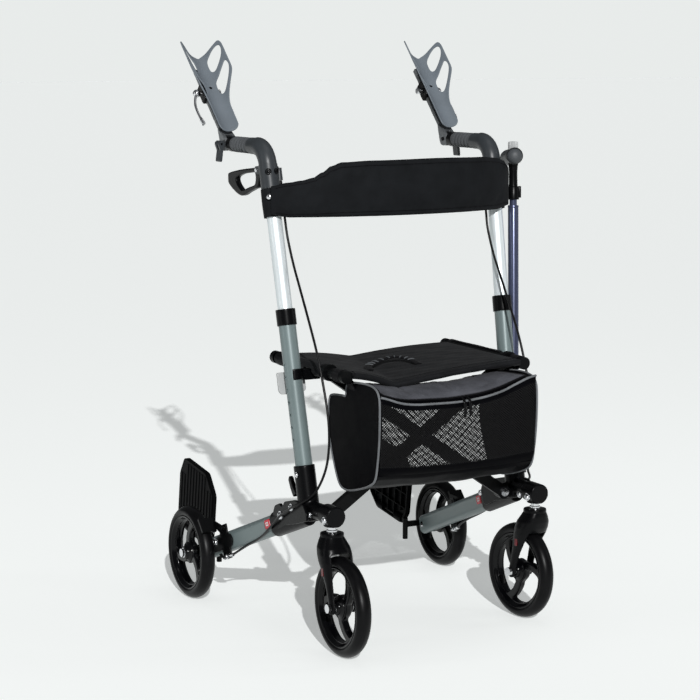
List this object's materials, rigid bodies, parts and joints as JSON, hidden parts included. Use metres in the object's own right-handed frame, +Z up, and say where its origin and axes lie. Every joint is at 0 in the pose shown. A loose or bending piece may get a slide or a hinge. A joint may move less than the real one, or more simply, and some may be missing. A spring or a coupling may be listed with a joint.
{
  "type": "upright walker",
  "caption": "Upright walker: X-folding frame, raked telescoping uprights, forearm troughs, loop brakes, swivel casters, fabric seat, front bag, backrest band, foot plates and a clipped cane.",
  "frame": {"origin": "on the floor, midway between the caster stems and the rear axles", "axes": "+Z up, -Y towards the front casters, +X towards the user's left"},
  "size_m": [0.693, 0.8674, 1.199],
  "materials": {
    "black_plastic": "gloss",
    "black_metal": "satin",
    "rim_plastic": "gloss",
    "tyre": "matte",
    "sage_metal": "satin",
    "silver_metal": "satin",
    "steel": "polished",
    "charcoal_plastic": "satin",
    "grip_rubber": "matte",
    "lever_plastic": "satin",
    "carrier_metal": "satin",
    "trough_plastic": "satin",
    "cable_sheath": "satin",
    "red_plastic": "gloss",
    "seat_fabric": "woven",
    "bag_fabric": "woven",
    "band_fabric": "woven",
    "cane_grip": "satin",
    "cane_metal": "satin"
  },
  "bodies": {
    "frame_r": {"frame_joint_r": "black_plastic", "upright_tube_r": "sage_metal", "upright_clamps_r": "black_plastic", "rear_leg_r": "sage_metal", "rear_bracket_r": "black_metal", "frame_bolts_r": "steel", "brake_cable_r": "cable_sheath"},
    "frame_l": {"frame_joint_l": "black_plastic", "upright_tube_l": "sage_metal", "upright_clamps_l": "black_plastic", "rear_leg_l": "sage_metal", "rear_bracket_l": "black_metal", "frame_bolts_l": "steel", "brake_cable_l": "cable_sheath", "cane_holder": "black_plastic"},
    "brace_a": {"brace_a": "black_metal"},
    "brace_b": {"brace_b": "black_metal"},
    "rail_r": {"seat_rail_r": "black_metal", "seat_sling": "seat_fabric", "front_bag": "bag_fabric"},
    "rail_l": {"seat_rail_l": "black_metal"},
    "caster_r": {"caster_fork_r": "black_plastic", "caster_bolts_r": "steel"},
    "caster_wheel_r": {"caster_tyre_r": "tyre", "caster_rim_r": "rim_plastic"},
    "rear_wheel_r": {"rear_tyre_r": "tyre", "rear_rim_r": "rim_plastic"},
    "handle_r": {"handle_tube_r": "silver_metal", "handle_elbow_r": "charcoal_plastic", "grip_r": "grip_rubber", "tilt_clamp_r": "black_plastic", "backrest_band": "band_fabric"},
    "brake_lever_r": {"brake_lever_r": "black_plastic"},
    "brake_arm_r": {"brake_arm_r": "black_metal"},
    "carrier_r": {"forearm_carrier_r": "carrier_metal"},
    "trough_r": {"forearm_trough_r": "trough_plastic"},
    "tilt_lever_r": {"tilt_lever_r": "lever_plastic"},
    "slide_lever_r": {"slide_lever_r": "steel"},
    "foot_plate_r": {"foot_plate_r": "black_plastic"},
    "button_r": {"release_button_r": "red_plastic"},
    "caster_l": {"caster_fork_l": "black_plastic", "caster_bolts_l": "steel"},
    "caster_wheel_l": {"caster_tyre_l": "tyre", "caster_rim_l": "rim_plastic"},
    "rear_wheel_l": {"rear_tyre_l": "tyre", "rear_rim_l": "rim_plastic"},
    "handle_l": {"handle_tube_l": "silver_metal", "handle_elbow_l": "charcoal_plastic", "grip_l": "grip_rubber", "tilt_clamp_l": "black_plastic"},
    "brake_lever_l": {"brake_lever_l": "black_plastic"},
    "brake_arm_l": {"brake_arm_l": "black_metal"},
    "carrier_l": {"forearm_carrier_l": "carrier_metal"},
    "trough_l": {"forearm_trough_l": "trough_plastic"},
    "tilt_lever_l": {"tilt_lever_l": "lever_plastic"},
    "slide_lever_l": {"slide_lever_l": "steel"},
    "foot_plate_l": {"foot_plate_l": "black_plastic"},
    "button_l": {"release_button_l": "red_plastic"},
    "cane": {"cane_handle": "cane_grip", "cane_shaft": "cane_metal"}
  },
  "joints": [
    {"name": "fold", "type": "hinge", "parent": "frame_r", "child": "brace_a", "pos_m": [-0.206, -0.188, 0.265], "axis": [0, -1, 0], "range_deg": [0, 40], "deforming": ["seat_sling", "front_bag", "backrest_band"]},
    {"name": "brace_cross", "type": "hinge", "parent": "brace_a", "child": "brace_b", "pos_m": [0, -0.188, 0.406], "axis": [0, -1, 0], "range_deg": [-80, 0]},
    {"name": "frame_l_pivot", "type": "hinge", "parent": "brace_b", "child": "frame_l", "pos_m": [0.206, -0.188, 0.265], "axis": [0, -1, 0], "range_deg": [0, 40]},
    {"name": "rail_l_pivot", "type": "hinge", "parent": "brace_a", "child": "rail_l", "pos_m": [0.206, -0.188, 0.547], "axis": [0, -1, 0], "range_deg": [-40, 0]},
    {"name": "rail_r_pivot", "type": "hinge", "parent": "brace_b", "child": "rail_r", "pos_m": [-0.206, -0.188, 0.547], "axis": [0, -1, 0], "range_deg": [0, 40]},
    {"name": "caster_swivel_r", "type": "hinge", "parent": "frame_r", "child": "caster_r", "pos_m": [-0.238, -0.2555, 0.25], "axis": [0, 0, 1], "continuous": true},
    {"name": "caster_spin_r", "type": "hinge", "parent": "caster_r", "child": "caster_wheel_r", "pos_m": [-0.238, -0.3005, 0.1], "axis": [-1, 0, 0], "continuous": true},
    {"name": "rear_spin_r", "type": "hinge", "parent": "frame_r", "child": "rear_wheel_r", "pos_m": [-0.315, 0.2555, 0.1], "axis": [1, 0, 0], "continuous": true},
    {"name": "handle_height_r", "type": "slide", "parent": "frame_r", "child": "handle_r", "axis": [-0.029, 0.2052, 0.9783], "range_m": [-0.1, 0.05], "deforming": ["brake_cable_r", "brake_cable_l", "backrest_band"]},
    {"name": "forearm_tilt_r", "type": "hinge", "parent": "handle_r", "child": "carrier_r", "pos_m": [-0.2657, 0.15614, 0.98802], "axis": [0.9996, 0, 0.0297], "range_deg": [-45, 15]},
    {"name": "trough_slide_r", "type": "slide", "parent": "carrier_r", "child": "trough_r", "axis": [-0.021, 0.7071, 0.7068], "range_m": [0, 0.04]},
    {"name": "tilt_lever_r", "type": "hinge", "parent": "handle_r", "child": "tilt_lever_r", "pos_m": [-0.28669, 0.15614, 0.9874], "axis": [0, 1, 0], "range_deg": [0, 90]},
    {"name": "slide_lever_r", "type": "hinge", "parent": "trough_r", "child": "slide_lever_r", "pos_m": [-0.29471, 0.2523, 1.08903], "axis": [0.021, 0.7071, -0.7068], "range_deg": [0, 90]},
    {"name": "brake_lever_r", "type": "hinge", "parent": "handle_r", "child": "brake_lever_r", "pos_m": [-0.2643, 0.00464, 0.94104], "axis": [0.9996, 0, 0.0297], "range_deg": [0, 12], "stiffness_Nm_per_rad": 4, "springref_deg": -2.86},
    {"name": "brake_arm_r", "type": "hinge", "parent": "frame_r", "child": "brake_arm_r", "pos_m": [-0.29, 0.15, 0.172], "axis": [1, 0, 0], "range_deg": [-5.04, 0]},
    {"name": "foot_plate_r", "type": "hinge", "parent": "frame_r", "child": "foot_plate_r", "pos_m": [-0.248, 0.2835, 0.097], "axis": [0, -0.9903, -0.1392], "range_deg": [-90, 0]},
    {"name": "button_r", "type": "slide", "parent": "frame_r", "child": "button_r", "axis": [0.9975, 0.0711, 0], "range_m": [0, 0.004], "stiffness_N_per_m": 800, "springref_m": -0.001},
    {"name": "caster_swivel_l", "type": "hinge", "parent": "frame_l", "child": "caster_l", "pos_m": [0.238, -0.2555, 0.25], "axis": [0, 0, 1], "continuous": true},
    {"name": "caster_spin_l", "type": "hinge", "parent": "caster_l", "child": "caster_wheel_l", "pos_m": [0.23408, -0.21067, 0.1], "axis": [0.9962, 0.0872, 0], "continuous": true},
    {"name": "rear_spin_l", "type": "hinge", "parent": "frame_l", "child": "rear_wheel_l", "pos_m": [0.315, 0.2555, 0.1], "axis": [1, 0, 0], "continuous": true},
    {"name": "handle_height_l", "type": "slide", "parent": "frame_l", "child": "handle_l", "axis": [0.029, 0.2052, 0.9783], "range_m": [-0.1, 0.05]},
    {"name": "forearm_tilt_l", "type": "hinge", "parent": "handle_l", "child": "carrier_l", "pos_m": [0.2657, 0.15614, 0.98802], "axis": [0.9996, 0, -0.0297], "range_deg": [-45, 15]},
    {"name": "trough_slide_l", "type": "slide", "parent": "carrier_l", "child": "trough_l", "axis": [0.021, 0.7071, 0.7068], "range_m": [0, 0.04]},
    {"name": "tilt_lever_l", "type": "hinge", "parent": "handle_l", "child": "tilt_lever_l", "pos_m": [0.28669, 0.15614, 0.9874], "axis": [0, -1, 0], "range_deg": [0, 90]},
    {"name": "slide_lever_l", "type": "hinge", "parent": "trough_l", "child": "slide_lever_l", "pos_m": [0.29471, 0.2523, 1.08903], "axis": [0.021, -0.7071, 0.7068], "range_deg": [0, 90]},
    {"name": "brake_lever_l", "type": "hinge", "parent": "handle_l", "child": "brake_lever_l", "pos_m": [0.2643, 0.00464, 0.94104], "axis": [0.9996, 0, -0.0297], "range_deg": [0, 12], "stiffness_Nm_per_rad": 4, "springref_deg": -2.86},
    {"name": "brake_arm_l", "type": "hinge", "parent": "frame_l", "child": "brake_arm_l", "pos_m": [0.29, 0.15, 0.172], "axis": [1, 0, 0], "range_deg": [-5.04, 0]},
    {"name": "foot_plate_l", "type": "hinge", "parent": "frame_l", "child": "foot_plate_l", "pos_m": [0.248, 0.2835, 0.097], "axis": [0, 0.9903, 0.1392], "range_deg": [-90, 0]},
    {"name": "button_l", "type": "slide", "parent": "frame_l", "child": "button_l", "axis": [-0.9975, 0.0711, 0], "range_m": [0, 0.004], "stiffness_N_per_m": 800, "springref_m": -0.001},
    {"name": "cane_lift", "type": "slide", "parent": "frame_l", "child": "cane", "axis": [0.0382, 0.0872, 0.9955], "range_m": [0, 0.08]}
  ],
  "couplings": [
    {"joint": "brace_cross", "follows": "fold", "ratio": -2},
    {"joint": "frame_l_pivot", "follows": "fold", "ratio": 1},
    {"joint": "rail_l_pivot", "follows": "fold", "ratio": -1},
    {"joint": "rail_r_pivot", "follows": "fold", "ratio": 1},
    {"joint": "brake_arm_r", "follows": "brake_lever_r", "ratio": -0.42},
    {"joint": "brake_arm_l", "follows": "brake_lever_l", "ratio": -0.42},
    {"joint": "handle_height_l", "follows": "handle_height_r", "ratio": 1}
  ]
}
